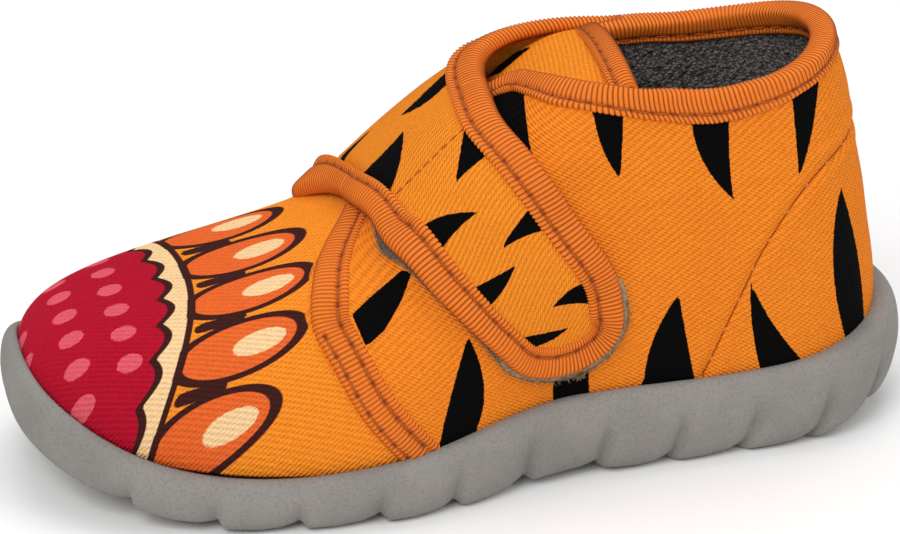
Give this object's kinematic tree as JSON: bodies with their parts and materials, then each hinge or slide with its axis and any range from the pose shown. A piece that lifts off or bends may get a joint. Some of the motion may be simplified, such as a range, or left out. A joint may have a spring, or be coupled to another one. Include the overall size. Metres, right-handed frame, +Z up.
{
  "type": "house slipper",
  "caption": "Child's ankle-high fabric house slipper for the left foot, with a hook-and-loop flap over the instep, ribbed edge tapes and a moulded cup sole.",
  "frame": {"origin": "middle of the shoe's bounding box, on the floor under the sole", "axes": "+X from the toe to the heel, +Y to the foot's inner side, +Z up"},
  "size_m": [0.168, 0.073, 0.0733],
  "materials": {
    "sole_rubber": "matt grey moulded rubber with a fine sandy grain",
    "footbed": "charcoal fleece",
    "orange_twill": "bright orange twill with black stripes",
    "hook_tape": "beige hook tape",
    "ribbed_tape": "orange ribbed binding tape, slightly redder than the twill"
  },
  "bodies": {
    "root": {"outsole": "sole_rubber", "insole": "footbed", "upper": "orange_twill", "tongue": "orange_twill", "closure_flap": "orange_twill", "hook_tape": "hook_tape", "collar_binding": "ribbed_tape", "flap_binding": "ribbed_tape", "vamp_binding": "ribbed_tape", "tongue_binding": "ribbed_tape"}
  },
  "joints": []
}
